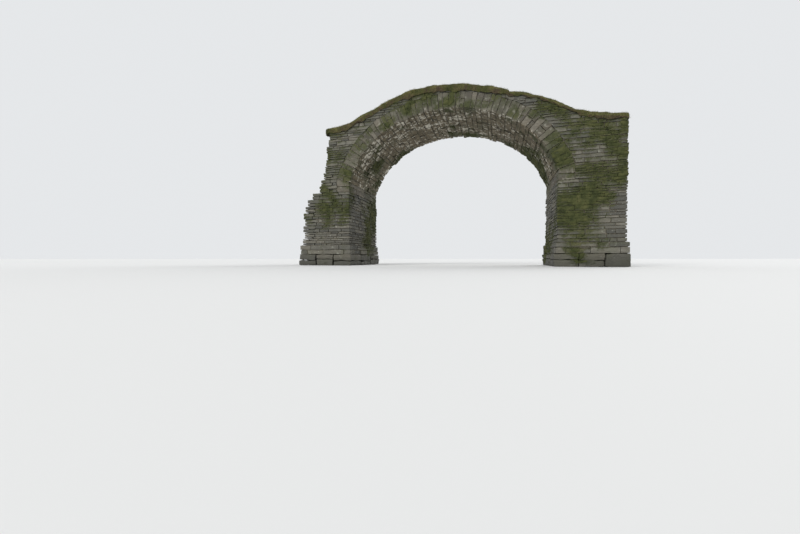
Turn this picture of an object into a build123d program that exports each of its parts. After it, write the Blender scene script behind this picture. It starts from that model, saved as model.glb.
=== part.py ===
from build123d import *
import math
import os

# Old footbridge of one rubble-built stone arch, with a turf deck and no parapets.
# Lengths are in millimetres. X runs along the bridge, Y across it from the front face to the
# back face, and Z up from the foot of the piers. The origin is under the middle of the arch.

# The arch: a flat crown arc that runs into a tighter haunch arc on each side
CLEAR_SPAN = 5580
SPRING_HEIGHT = 2400
RISE = 1800
CROWN_RADIUS = 3500
CROWN_HALF_ANGLE = 25
RING_DEPTH = 400

# The courses of thin slabs that make the arch, each wedged between two radial joints
COURSES_PER_SIDE = 25
KEY_WIDTH = 150
MORTAR_JOINT = 10
JOINT_RECESS = 20
UNEVEN_COURSES = 0.26
LONG_TAIL = 540
SHORT_TAIL = 340
UNEVEN_FACE = 14

# The walls that stand on the arch and the piers
BRIDGE_WIDTH = 2400
WALL_SETBACK = 20
FACE_WALL = 450
JAMB_WALL = 450
END_WALL = 400
SPRINGER_HEIGHT = 260
SPRINGER_BLOCKS = 4

# The broken left end, where the approach has fallen, and the right end in the bank
ABUTMENT_LENGTH = 1510
LEFT_HAUNCH = 710
WALL_COURSE = 190
FRONT_TEETH = (230, 180, 95, 45, 20, -25, 5, -70, -100, -20)
BACK_TEETH = (150, 90, 160, 20, -60, 30, -90, -40, -130, -60)
HEART_TEETH = (90, -40, -120, -60, -190, -140, -260, -210, -300, -240)
FRONT_LEDGE_TEETH = (0, -60, -20, -75, -30, -90, -170, -330)
BACK_LEDGE_TEETH = (-30, 0, -70, -25, -110, -60, -230, -260)
HEART_LEDGE_TEETH = (-60, -130, -90, -170, -120, -210, -190, -380)

# The footings under the piers
FOOTING_HEIGHT = 330
PLINTH_HEIGHT = 270
FOOTING_STEP = 100
PLINTH_STEP = 45
LENGTHWISE_BLOCKS = 3
CROSSWISE_BLOCKS = 3
FOOTING_JOINT = 14

# The deck: a bed line under the turf, as drops below its crown at shares of the way to each end
COVER = 100
HUMP_SHIFT = 380
LEFT_FALL = ((0.25, 95), (0.42, 290), (0.6, 520), (0.81, 800), (1, 840))
RIGHT_FALL = ((0.21, 75), (0.385, 280), (0.5, 395), (0.6, 540), (0.71, 825), (0.8, 1045), (1, 1185))
TURF_LEFT = 155
TURF_RIGHT = 90
TURF_BREAK = 1620
TURF_OVERHANG = 35
TURF_ROUNDING = 55
TURF_HUMMOCK = 360
TURF_UNEVEN = 24

# Sizes that follow from the ones above
HALF_SPAN = CLEAR_SPAN / 2
SOFFIT_CROWN = SPRING_HEIGHT + RISE
PIER_TOP = SPRING_HEIGHT - SPRINGER_HEIGHT
PIER_FOOT = FOOTING_HEIGHT + PLINTH_HEIGHT
HALF_WIDTH = BRIDGE_WIDTH / 2
WALL_FACE = HALF_WIDTH - WALL_SETBACK
WALL_BACK = WALL_FACE - FACE_WALL
LEFT_END = -HALF_SPAN - LEFT_HAUNCH
RIGHT_END = HALF_SPAN + ABUTMENT_LENGTH
BED_CROWN = SOFFIT_CROWN + RING_DEPTH + COVER

# Centres of the arcs: the haunch arc leaves the crown arc without a kink and ends at the springing
CROWN_ANGLE = math.radians(CROWN_HALF_ANGLE)
CROWN_CENTRE = SOFFIT_CROWN - CROWN_RADIUS
MEET_X = CROWN_RADIUS * math.sin(CROWN_ANGLE)
MEET_Z = CROWN_CENTRE + CROWN_RADIUS * math.cos(CROWN_ANGLE)
TO_MEET_X = MEET_X - HALF_SPAN
TO_MEET_Z = MEET_Z - SPRING_HEIGHT
HAUNCH_RADIUS = math.hypot(TO_MEET_X, TO_MEET_Z) ** 2 / (
    2 * (TO_MEET_X * math.sin(CROWN_ANGLE) + TO_MEET_Z * math.cos(CROWN_ANGLE))
)
HAUNCH_X = MEET_X - HAUNCH_RADIUS * math.sin(CROWN_ANGLE)
HAUNCH_Z = MEET_Z - HAUNCH_RADIUS * math.cos(CROWN_ANGLE)
SPRING_ANGLE = math.atan2(HALF_SPAN - HAUNCH_X, SPRING_HEIGHT - HAUNCH_Z)
CROWN_LENGTH = CROWN_RADIUS * CROWN_ANGLE
SOFFIT_LENGTH = CROWN_LENGTH + HAUNCH_RADIUS * (SPRING_ANGLE - CROWN_ANGLE)


def arch_point(along, depth):
    """The point at a distance along the soffit from the crown, and at a depth into the ring."""
    distance = abs(along)
    if distance <= CROWN_LENGTH:
        angle = distance / CROWN_RADIUS
        x = (CROWN_RADIUS + depth) * math.sin(angle)
        z = CROWN_CENTRE + (CROWN_RADIUS + depth) * math.cos(angle)
    else:
        angle = CROWN_ANGLE + (distance - CROWN_LENGTH) / HAUNCH_RADIUS
        x = HAUNCH_X + (HAUNCH_RADIUS + depth) * math.sin(angle)
        z = HAUNCH_Z + (HAUNCH_RADIUS + depth) * math.cos(angle)
    return math.copysign(x, along), z


def bed_joints(side):
    """Where the radial joints of one side meet the soffit, from the key course to the springing."""
    widths = [
        1 + UNEVEN_COURSES * (math.sin(2.3 * n + side) + 0.4 * math.sin(5.3 * n))
        for n in range(COURSES_PER_SIDE)
    ]
    scale = (SOFFIT_LENGTH - KEY_WIDTH / 2) / sum(widths)
    joints = [KEY_WIDTH / 2]
    for width in widths:
        joints.append(joints[-1] + width * scale)
    return [side * joint for joint in joints]


def moved_towards(start, end, distance):
    """The point at a distance from start on the way to end."""
    share = distance / math.dist(start, end)
    return start[0] + (end[0] - start[0]) * share, start[1] + (end[1] - start[1]) * share


def wedge_outline(upper, lower):
    """The four corners of a course, half a mortar joint inside its two radial joints."""
    inner = arch_point(upper, 0), arch_point(lower, 0)
    outer = arch_point(upper, RING_DEPTH), arch_point(lower, RING_DEPTH)
    half_joint = MORTAR_JOINT / 2
    return [
        moved_towards(inner[0], inner[1], half_joint),
        moved_towards(inner[1], inner[0], half_joint),
        moved_towards(outer[1], outer[0], half_joint),
        moved_towards(outer[0], outer[1], half_joint),
    ]


def mortar_outline(upper, lower):
    """The four corners of the mortar between two stone sides, held back from the soffit."""
    return [
        moved_towards(upper[0], upper[1], JOINT_RECESS),
        upper[1],
        lower[1],
        moved_towards(lower[0], lower[1], JOINT_RECESS),
    ]


def back_of_arch(side):
    """The top of one half of the ring, from the springing up to the middle of the key course."""
    points = [arch_point(joint, RING_DEPTH) for joint in reversed(bed_joints(side))]
    return points + [(0, points[-1][1])]


def bed_stations():
    """The corners of the bed line under the turf, from the left end to the right end."""
    left = [
        (-HUMP_SHIFT + share * (LEFT_END + HUMP_SHIFT), BED_CROWN - drop) for share, drop in LEFT_FALL
    ]
    right = [
        (-HUMP_SHIFT + share * (RIGHT_END + HUMP_SHIFT), BED_CROWN - drop) for share, drop in RIGHT_FALL
    ]
    return left[::-1] + [(-HUMP_SHIFT, BED_CROWN)] + right


def bed_height(x):
    """Height of the bed line at x, level beyond its ends."""
    stations = bed_stations()
    if x <= stations[0][0]:
        return stations[0][1]
    for (x0, z0), (x1, z1) in zip(stations, stations[1:]):
        if x <= x1:
            return z0 + (z1 - z0) * (x - x0) / (x1 - x0)
    return stations[-1][1]


def bed_line(start, end):
    """The bed line from start to a larger end."""
    inside = [(x, z) for x, z in bed_stations() if start < x < end]
    return [(start, bed_height(start))] + inside + [(end, bed_height(end))]


def broken_end(end, low, high, teeth):
    """A toothed end of broken courses on the left, from high down to low."""
    count = max(1, round((high - low) / WALL_COURSE))
    course = (high - low) / count
    points = []
    for n in reversed(range(count)):
        x = end - teeth[n % len(teeth)]
        points += [(x, low + (n + 1) * course), (x, low + n * course)]
    return points


def lay(outline, front, back):
    """Adds a prism with an outline in X and Z, from front to back across the bridge."""
    with BuildSketch(Plane.XZ.offset(-front)) as section:
        with BuildLine():
            Polyline(*outline, close=True)
        make_face()
    extrude(section.sketch, amount=front - back)


def save(part, name):
    part.label = name
    export_step(part, f"parts/{name}.step")


os.makedirs("parts", exist_ok=True)
SIDES = (("left", -1), ("right", 1))
FACES = (("front", -1), ("back", 1))

# Footings: two rows of large blocks that step in to a plinth, then to the pier
for side_name, side in SIDES:
    for name, low, high, step, along, across in (
        ("footing", 0, FOOTING_HEIGHT, FOOTING_STEP, LENGTHWISE_BLOCKS, CROSSWISE_BLOCKS),
        ("plinth", FOOTING_HEIGHT, PIER_FOOT, PLINTH_STEP, 1, 1),
    ):
        length = ABUTMENT_LENGTH + 2 * step
        width = 2 * (WALL_FACE + step)
        with BuildPart() as footing:
            with Locations((side * (HALF_SPAN + ABUTMENT_LENGTH / 2), 0, low)):
                with GridLocations(length / along, width / across, along, across):
                    Box(
                        length / along - (FOOTING_JOINT if along > 1 else 0),
                        width / across - (FOOTING_JOINT if across > 1 else 0),
                        high - low,
                        align=(Align.CENTER, Align.CENTER, Align.MIN),
                    )
        save(footing.part, f"{side_name}_{name}")

# Piers: a jamb wall under the arch, a face wall on the front and the back, and rubble hearting
for side_name, side in SIDES:
    jamb_back = HALF_SPAN + JAMB_WALL
    with BuildPart() as jamb:
        lay(
            [
                (side * HALF_SPAN, PIER_FOOT),
                (side * jamb_back, PIER_FOOT),
                (side * jamb_back, PIER_TOP),
                (side * HALF_SPAN, PIER_TOP),
            ],
            -WALL_FACE,
            WALL_FACE,
        )
    save(jamb.part, f"{side_name}_jamb_wall")

    for name, front, back, teeth in (
        ("front_pier_wall", -WALL_FACE, -WALL_BACK, FRONT_LEDGE_TEETH),
        ("back_pier_wall", WALL_BACK, WALL_FACE, BACK_LEDGE_TEETH),
        ("pier_hearting", -WALL_BACK, WALL_BACK, HEART_LEDGE_TEETH),
    ):
        if side < 0:
            outer = broken_end(-RIGHT_END, PIER_FOOT, PIER_TOP, teeth)
        else:
            end = RIGHT_END - END_WALL if name == "pier_hearting" else RIGHT_END
            outer = [(end, PIER_TOP), (end, PIER_FOOT)]
        with BuildPart() as pier:
            lay([(side * jamb_back, PIER_FOOT), (side * jamb_back, PIER_TOP)] + outer, front, back)
        save(pier.part, f"{side_name}_{name}")

# Springers: a row of blocks on each jamb, with a sloping top that the arch starts from
for side_name, side in SIDES:
    foot = side * HALF_SPAN
    heel, heel_z = arch_point(side * SOFFIT_LENGTH, RING_DEPTH)
    block = 2 * WALL_FACE / SPRINGER_BLOCKS
    with BuildPart() as springers:
        for n in range(SPRINGER_BLOCKS):
            front = -WALL_FACE + n * block
            lay(
                [(foot, PIER_TOP), (foot, SPRING_HEIGHT), (heel, heel_z), (heel, PIER_TOP)],
                front + MORTAR_JOINT / 2,
                front + block - MORTAR_JOINT / 2,
            )
    save(springers.part, f"{side_name}_springers")

# Arch ring: long and short ring stones by turns on each face, and a course of the barrel between
for side_name, side in SIDES:
    joints = bed_joints(side)
    courses = [wedge_outline(upper, lower) for upper, lower in zip(joints, joints[1:])]
    tails = {
        "front": [LONG_TAIL if n % 2 else SHORT_TAIL for n in range(COURSES_PER_SIDE)],
        "back": [SHORT_TAIL if n % 2 else LONG_TAIL for n in range(COURSES_PER_SIDE)],
    }
    for face_name, face in FACES:
        with BuildPart() as ring:
            for n, (outline, tail) in enumerate(zip(courses, tails[face_name])):
                face_y = HALF_WIDTH - UNEVEN_FACE * abs(math.sin(1.7 * n + face + side))
                lay(outline, *sorted((face * face_y, face * (HALF_WIDTH - tail))))
        save(ring.part, f"{face_name}_ring_{side_name}")
    with BuildPart() as barrel:
        for outline, front_tail, back_tail in zip(courses, tails["front"], tails["back"]):
            lay(outline, front_tail - HALF_WIDTH, HALF_WIDTH - back_tail)
    save(barrel.part, f"barrel_{side_name}")

# Mortar: a bed in every radial joint of the arch, and in the upright joints of the springers
for side_name, side in SIDES:
    joints = bed_joints(side)
    key = wedge_outline(-side * KEY_WIDTH / 2, side * KEY_WIDTH / 2)
    courses = [key] + [wedge_outline(upper, lower) for upper, lower in zip(joints, joints[1:])]
    foot = side * HALF_SPAN
    heel, heel_z = arch_point(side * SOFFIT_LENGTH, RING_DEPTH)
    springing = (foot, SPRING_HEIGHT), (heel, heel_z)
    with BuildPart() as mortar:
        for n, course in enumerate(courses):
            below = (courses[n + 1][0], courses[n + 1][3]) if n < COURSES_PER_SIDE else springing
            lay(
                mortar_outline((course[1], course[2]), below),
                JOINT_RECESS - WALL_FACE,
                WALL_FACE - JOINT_RECESS,
            )
    save(mortar.part, f"{side_name}_arch_mortar")

    block = 2 * WALL_FACE / SPRINGER_BLOCKS
    with BuildPart() as springer_mortar:
        for n in range(1, SPRINGER_BLOCKS):
            joint = n * block - WALL_FACE
            lay(
                mortar_outline(springing, ((foot, PIER_TOP), (heel, PIER_TOP))),
                joint - MORTAR_JOINT / 2,
                joint + MORTAR_JOINT / 2,
            )
    save(springer_mortar.part, f"{side_name}_springer_mortar")

# Key course: the last slabs driven in at the crown
key_outline = wedge_outline(-KEY_WIDTH / 2, KEY_WIDTH / 2)
for face_name, face in FACES:
    with BuildPart() as keystone:
        lay(key_outline, *sorted((face * HALF_WIDTH, face * (HALF_WIDTH - LONG_TAIL))))
    save(keystone.part, f"{face_name}_keystone")
with BuildPart() as key_course:
    lay(key_outline, LONG_TAIL - HALF_WIDTH, HALF_WIDTH - LONG_TAIL)
save(key_course.part, "barrel_key_course")

# Spandrel walls over the ring and the rubble fill between them, broken off on the left
for side_name, side in SIDES:
    heel = arch_point(side * SOFFIT_LENGTH, RING_DEPTH)[0]
    for name, front, back, teeth in (
        ("front_spandrel", -WALL_FACE, -WALL_BACK, FRONT_TEETH),
        ("back_spandrel", WALL_BACK, WALL_FACE, BACK_TEETH),
        ("haunch_fill", -WALL_BACK, WALL_BACK, HEART_TEETH),
    ):
        if side < 0:
            top = bed_height(LEFT_END)
            end = broken_end(LEFT_END, PIER_TOP, top, teeth)
            deck = bed_line(end[0][0], 0)[::-1][:-1]
        else:
            end_x = RIGHT_END - END_WALL if name == "haunch_fill" else RIGHT_END
            end = [(end_x, PIER_TOP)]
            deck = bed_line(0, end_x)
        with BuildPart() as spandrel:
            lay([(heel, PIER_TOP)] + back_of_arch(side) + deck + end, front, back)
        save(spandrel.part, f"{side_name}_{name}")

# End wall: closes the right end between the two face walls
end_back = RIGHT_END - END_WALL
with BuildPart() as end_wall:
    lay(
        [(end_back, PIER_FOOT)] + bed_line(end_back, RIGHT_END) + [(RIGHT_END, PIER_FOOT)],
        -WALL_BACK,
        WALL_BACK,
    )
save(end_wall.part, "right_end_wall")

# Turf deck: a thick sod over the left and the crown, and a thinner one beyond the break
for name, start, end, depth in (
    ("turf_left", LEFT_END, TURF_BREAK, TURF_LEFT),
    ("turf_right", TURF_BREAK, RIGHT_END, TURF_RIGHT),
):
    half = WALL_FACE + TURF_OVERHANG
    shoulder = half - TURF_ROUNDING
    rows = (-half, -shoulder, -shoulder / 2, 0, shoulder / 2, shoulder, half)
    count = round((end - start) / TURF_HUMMOCK)
    top = []
    for n in range(count + 1):
        x = start + (end - start) * n / count
        line = []
        for row, y in enumerate(rows):
            rise = TURF_UNEVEN * (-1) ** (n + row) * (0.6 + 0.4 * math.sin(2.7 * n + 1.9 * row))
            drop = TURF_ROUNDING if row in (0, len(rows) - 1) else 0
            line.append((x, y, bed_height(x) + depth + rise - drop))
        top.append(line)
    bed = bed_line(start, end)
    skin = []
    for line, next_line in zip(top, top[1:]):
        for a, b, c, d in zip(line, next_line, next_line[1:], line[1:]):
            skin += [[a, b, c], [a, c, d]]
    for y, column in ((-half, 0), (half, -1)):
        skin.append([(x, y, z) for x, z in bed] + [line[column] for line in reversed(top)])
    for (x, z), line in ((bed[0], top[0]), (bed[-1], top[-1])):
        skin.append([(x, half, z), (x, -half, z)] + line)
    for (x0, z0), (x1, z1) in zip(bed, bed[1:]):
        skin.append([(x0, -half, z0), (x1, -half, z1), (x1, half, z1), (x0, half, z0)])
    turf = Solid(Shell([Face(Wire.make_polygon(corners)) for corners in skin]))
    save(turf, name)
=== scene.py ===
import math
import random

import bmesh
import bpy
from mathutils import Matrix, Vector, noise
from mathutils.bvhtree import BVHTree


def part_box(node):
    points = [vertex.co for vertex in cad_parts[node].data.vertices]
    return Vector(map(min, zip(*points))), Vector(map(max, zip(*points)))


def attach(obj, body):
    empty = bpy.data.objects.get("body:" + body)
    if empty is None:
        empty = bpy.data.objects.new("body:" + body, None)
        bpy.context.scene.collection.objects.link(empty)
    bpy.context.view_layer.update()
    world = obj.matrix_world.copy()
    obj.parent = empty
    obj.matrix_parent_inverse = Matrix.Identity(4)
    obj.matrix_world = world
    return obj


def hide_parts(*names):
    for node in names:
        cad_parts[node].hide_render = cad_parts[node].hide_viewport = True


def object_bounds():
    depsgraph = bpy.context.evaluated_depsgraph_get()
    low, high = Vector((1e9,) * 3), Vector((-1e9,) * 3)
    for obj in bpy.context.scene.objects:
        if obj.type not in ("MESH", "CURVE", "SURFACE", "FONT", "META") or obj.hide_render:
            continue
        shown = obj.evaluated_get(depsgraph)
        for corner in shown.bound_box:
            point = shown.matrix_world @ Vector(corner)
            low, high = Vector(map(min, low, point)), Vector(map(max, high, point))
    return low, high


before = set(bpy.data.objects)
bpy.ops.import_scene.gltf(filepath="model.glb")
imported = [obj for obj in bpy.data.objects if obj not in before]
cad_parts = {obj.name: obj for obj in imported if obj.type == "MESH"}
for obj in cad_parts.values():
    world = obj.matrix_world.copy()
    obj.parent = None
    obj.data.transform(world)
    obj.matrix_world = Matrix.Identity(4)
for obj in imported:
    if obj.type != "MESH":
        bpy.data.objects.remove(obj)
cad_low, cad_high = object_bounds()
SEED = 1743
chance = random.Random(SEED)
noise.seed_set(SEED)

# Footings: a course of large blocks of river-worn stone under each pier, laid dry on the rock.
# They are the same rough slabstone as the rest, dark with damp and green at the water line.
BLOCK_GRAIN = 0.075
BLOCK_WEAR = 0.5
BLOCK_RELIEF = 0.021
BLOCK_SETBACK = 0.016
BLOCK_SPLITS = 0.8
BLOCK_SPLIT_AT = (0.36, 0.62)
BLOCK_SLIP = 0.01
BLOCK_SHRINK = 0.012
BED_GAP = 0.003
# Relief per metre, and how far apart in the noise two stones lie.
LUMPS = 6
CHIPS = 21
NOISE_APART = 90
SHARP_BEND = 0.62
# Limits for merging, cutting and sorting meshes, so that every run comes out alike.
FLAT_BEND = 0.004
WELD = 0.0004
CUT_REACH = 0.0001
ALL_AXES = {"use_axis_x": True, "use_axis_y": True, "use_axis_z": True}
GRID_DIGITS = 4
SKEW_LINE = Vector((1.0, 0.739, 0.413))
# Moss: where it grows, from which growth it stands as a mat, and how thick it gets.
MAT_NOISE = ((0.8, 1.0), (2.7, 0.55), (8, 0.3))
MAT_ON_TOP = 0.28
WATERLINE = 0.04
MAT_FRAY = 0.16
MAT_FROM = 0.42
MAT_RISE = 0.045
MAT_UNEVEN = 0.006
MAT_THIN = 0.003
MAT_LEAST = 0.002
MAT_MOST = 0.016
MAT_RIM = 0.001
MAT_ROOT = 0.003
MAT_DETAIL = 0.4


class Socket:
    """A socket of a finish, so that the maths of a colour or a bump is written as Python."""

    def __init__(self, tree, end):
        self.tree = tree
        self.end = end

    def node(self, kind, settings, inputs, result=0):
        """Adds a node, sets it, fills its sockets with values or links, and gives one output."""
        made = self.tree.nodes.new(kind)
        for setting, value in settings.items():
            if setting == "stops":
                ramp = made.color_ramp.elements
                ramp.remove(ramp[1])
                ramp[0].position = value[0][0]
                ramp[0].color = (*value[0][1], 1)
                for place, colour in value[1:]:
                    ramp.new(place).color = (*colour, 1)
            else:
                setattr(made, setting, value)
        for name, value in inputs.items():
            if isinstance(value, Socket):
                self.tree.links.new(value.end, made.inputs[name])
            else:
                made.inputs[name].default_value = value
        return Socket(self.tree, made.outputs[result])

    def maths(self, operation, first, second):
        return self.node("ShaderNodeMath", {"operation": operation}, {0: first, 1: second})

    def __add__(self, other):
        return self.maths("ADD", self, other)

    def __sub__(self, other):
        return self.maths("SUBTRACT", self, other)

    def __rsub__(self, other):
        return self.maths("SUBTRACT", other, self)

    def __mul__(self, other):
        return self.maths("MULTIPLY", self, other)

    __radd__ = __add__
    __rmul__ = __mul__


def begin_finish(name):
    """A new finish: the material, its surface shader and its object coordinates."""
    material = bpy.data.materials.new(name)
    material.use_nodes = True
    tree = material.node_tree
    place = Socket(tree, None).node("ShaderNodeTexCoord", {}, {}, 3)
    return material, tree.nodes["Principled BSDF"], place


def speckle(place, scale, detail=5.0, roughness=0.6, stretch=(1, 1, 1)):
    """A noise over the stone, from 0 to 1, that can be stretched along one direction."""
    spread = place.node("ShaderNodeVectorMath", {"operation": "MULTIPLY"}, {0: place, 1: stretch})
    inputs = {"Vector": spread, "Scale": scale, "Detail": detail, "Roughness": roughness}
    return place.node("ShaderNodeTexNoise", {}, inputs)


def between(value, low, high):
    """A mask that goes smoothly from 0 to 1 while a value goes from low to high."""
    settings = {"interpolation_type": "SMOOTHSTEP"}
    return value.node("ShaderNodeMapRange", settings, {0: value, 1: low, 2: high})


def tinted(mask, below, above):
    """One colour below a mask and another above it."""
    below, above = [(*c, 1) if isinstance(c, tuple) else c for c in (below, above)]
    return mask.node("ShaderNodeMix", {"data_type": "RGBA"}, {0: mask, 6: below, 7: above}, 2)


def graded(value, tones):
    """A colour that goes through its tones, each given with its place, while a value rises."""
    return value.node("ShaderNodeValToRGB", {"stops": tones}, {0: value})


def fit_surface(surface, colour, roughness, shine, relief=None, depth=0.02, strength=1.0):
    """Gives the surface shader of a finish its colour, roughness, shine and fine relief."""
    links = surface.id_data.links
    links.new(colour.end, surface.inputs["Base Color"])
    if isinstance(roughness, Socket):
        links.new(roughness.end, surface.inputs["Roughness"])
    else:
        surface.inputs["Roughness"].default_value = roughness
    surface.inputs["Specular IOR Level"].default_value = shine
    if relief is not None:
        inputs = {"Strength": strength, "Distance": depth, "Height": relief}
        bump = relief.node("ShaderNodeBump", {}, inputs)
        links.new(bump.end, surface.inputs["Normal"])


def stone_finish(name, tones, moss, lichen=0.5, lime=0.0, damp=0.0, film_share=0.4):
    """Split slabstone: every stone in its own tone, with moss, lichen, lime and damp over it."""
    material, surface, place = begin_finish(name)
    tint = place.node("ShaderNodeAttribute", {"attribute_name": "tint"}, {}, 2)
    upwards = place.node("ShaderNodeNewGeometry", {}, {}, 1)
    upwards = place.node("ShaderNodeSeparateXYZ", {}, {0: upwards}, 2)
    height = place.node("ShaderNodeSeparateXYZ", {}, {0: place}, 2)
    mottle = speckle(place, 7, 8, 0.65)
    grit = speckle(place, 55, 4, 0.7)
    layers = speckle(place, 5, 5, 0.6, (1, 1, 7))
    patches = speckle(place, 1.3, 5, 0.62)

    colour = graded(tint * 0.75 + mottle * 0.5 - 0.12, tones)
    colour = tinted(between(layers, 0.35, 0.7) * 0.45, colour, (0.055, 0.05, 0.042))
    colour = tinted(between(grit, 0.5, 0.72) * 0.35, colour, (0.33, 0.31, 0.26))

    spots = speckle(place, 11, 3, 0.5)
    crust = between(spots + grit * 0.25, 0.76, 0.82) * lichen
    colour = tinted(crust, colour, (0.42, 0.43, 0.36))

    runs = speckle(place, 2.2, 6, 0.7, (1, 1, 0.35))
    under = 1 - between(upwards, -0.45, 0.1)
    spread = speckle(place, 0.9, 3, 0.5) * 0.34
    leached = between(runs + mottle * 0.5 + spread, 0.97, 1.16)
    leached = leached + between(spots * 0.75 + runs * 0.35 + spread + grit * 0.16, 0.83, 0.94)
    leached = leached * under * lime
    sheltered = between(mottle + layers * 0.4, 0.45, 0.85)
    sheltered = tinted(sheltered, (0.058, 0.045, 0.024), (0.165, 0.132, 0.076))
    colour = tinted(under * lime * 0.85, colour, sheltered)

    growth = place.node("ShaderNodeAttribute", {"attribute_name": "growth"}, {}, 2)
    film = between(growth * 0.5 + patches + mottle * 0.3, 0.42, 0.95) * (0.25 + film_share)
    colour = tinted(film, colour, (0.07, 0.074, 0.042))
    colour = tinted(leached, colour, (0.54, 0.51, 0.43))
    ragged = speckle(place, 17, 6, 0.75)
    green = growth + patches * 0.4 + ragged * 1.1 + grit * 0.25 + moss
    cover = between(green, 1.08, 1.3)
    moss_tones = [
        (0.34, (0.025, 0.03, 0.012)),
        (0.5, (0.05, 0.056, 0.021)),
        (0.68, (0.1, 0.095, 0.04)),
    ]
    clumps = speckle(place, 24, 6, 0.7) * 0.6 + speckle(place, 1.9, 3, 0.5) * 0.4
    colour = tinted(cover * 0.88, colour, graded(clumps, moss_tones))

    wet = (1 - between(height + patches * 0.5, 0.25, 0.75)) * damp
    colour = tinted(wet, colour, (0.035, 0.036, 0.026))

    gloss = 0.86 + cover * 0.12 - wet * 0.3
    rough = mottle * 0.6 + layers * 0.5 + grit * 0.22 + cover * speckle(place, 90, 3, 0.7) * 0.5
    fit_surface(surface, colour, gloss, 0.35, rough, depth=0.022, strength=0.75)
    return material


def moss_finish():
    """Cushions of moss: deep green in their hollows, olive on their crests, brown where dry."""
    material, surface, place = begin_finish("cushion_moss")
    clumps = speckle(place, 6, 5, 0.6)
    tufts = speckle(place, 60, 5, 0.75)
    tones = [
        (0.34, (0.021, 0.026, 0.01)),
        (0.46, (0.042, 0.049, 0.017)),
        (0.56, (0.07, 0.075, 0.027)),
        (0.66, (0.108, 0.102, 0.042)),
        (0.76, (0.145, 0.118, 0.06)),
    ]
    fit_surface(surface, graded(clumps * 0.6 + tufts * 0.4, tones), 0.97, 0.2, tufts)
    return material


def put_in_order(shape):
    """Rebuilds a shape on a fine grid, sorted along a skew line, so that every run is alike."""
    for vert in shape.verts:
        vert.co = [round(value, GRID_DIGITS) for value in vert.co]
    shape.verts.sort(key=lambda vert: vert.co.dot(SKEW_LINE))
    shape.edges.sort(key=lambda edge: (edge.verts[0].co + edge.verts[1].co).dot(SKEW_LINE))
    shape.faces.sort(key=lambda face: face.calc_center_median().dot(SKEW_LINE))
    mesh = bpy.data.meshes.new("sorted")
    shape.to_mesh(mesh)
    for edge in mesh.edges:
        edge.vertices = sorted(edge.vertices)
    shape.clear()
    shape.from_mesh(mesh)
    bpy.data.meshes.remove(mesh)


def weather(stones, grain, wear, relief):
    """Breaks up the faces of closed stones, wears their arrises and makes each one uneven."""
    put_in_order(stones)
    while True:
        long_edges = [edge for edge in stones.edges if edge.calc_length() > grain]
        if not long_edges:
            break
        bmesh.ops.subdivide_edges(stones, edges=long_edges, cuts=1, use_grid_fill=True)
    bmesh.ops.smooth_vert(stones, verts=stones.verts, factor=wear, **ALL_AXES)
    tint = stones.faces.layers.float.get("tint")
    for vert in stones.verts:
        own = Vector((vert.link_faces[0][tint] * NOISE_APART if tint else 0, 0, 0))
        rough = noise.noise_vector(vert.co * LUMPS + own)
        rough += 0.5 * noise.noise_vector(vert.co * CHIPS + own)
        vert.co += relief * rough
    bends = [vert for vert in stones.verts if len(vert.link_edges) == 2]
    bmesh.ops.dissolve_verts(stones, verts=bends)
    odd = [face for face in stones.faces if len(face.verts) > 4]
    bmesh.ops.triangulate(stones, faces=odd)
    bmesh.ops.recalc_face_normals(stones, faces=stones.faces)
    put_in_order(stones)
    for face in stones.faces:
        face.smooth = True
    for edge in stones.edges:
        edge.smooth = edge.calc_face_angle(0) < SHARP_BEND


def part_at_corners(sheet):
    """Drops faces of an open sheet until no two parts of it meet in a corner alone."""
    while True:
        doubtful = [
            vert for vert in sheet.verts if sum(edge.is_boundary for edge in vert.link_edges) > 2
        ]
        if not doubtful:
            break
        faces = {vert.link_faces[0] for vert in doubtful}
        bmesh.ops.delete(sheet, geom=list(faces), context="FACES")


def thin_out(shape, share):
    """Keeps a share of a shape's triangles, and none of the tufts that this has made flat."""
    put_in_order(shape)
    mesh = bpy.data.meshes.new("dense")
    shape.to_mesh(mesh)
    shape.free()
    dense = bpy.data.objects.new("dense", mesh)
    bpy.context.scene.collection.objects.link(dense)
    dense.modifiers.new("thinning", "DECIMATE").ratio = share
    thin = bmesh.new()
    thin.from_object(dense, bpy.context.evaluated_depsgraph_get())
    bpy.data.objects.remove(dense)
    bpy.data.meshes.remove(mesh)
    bmesh.ops.triangulate(thin, faces=thin.faces[:])
    flat = [vert for vert in thin.verts if len(vert.link_edges) < 3]
    bmesh.ops.delete(thin, geom=flat, context="VERTS")
    return thin


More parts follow.
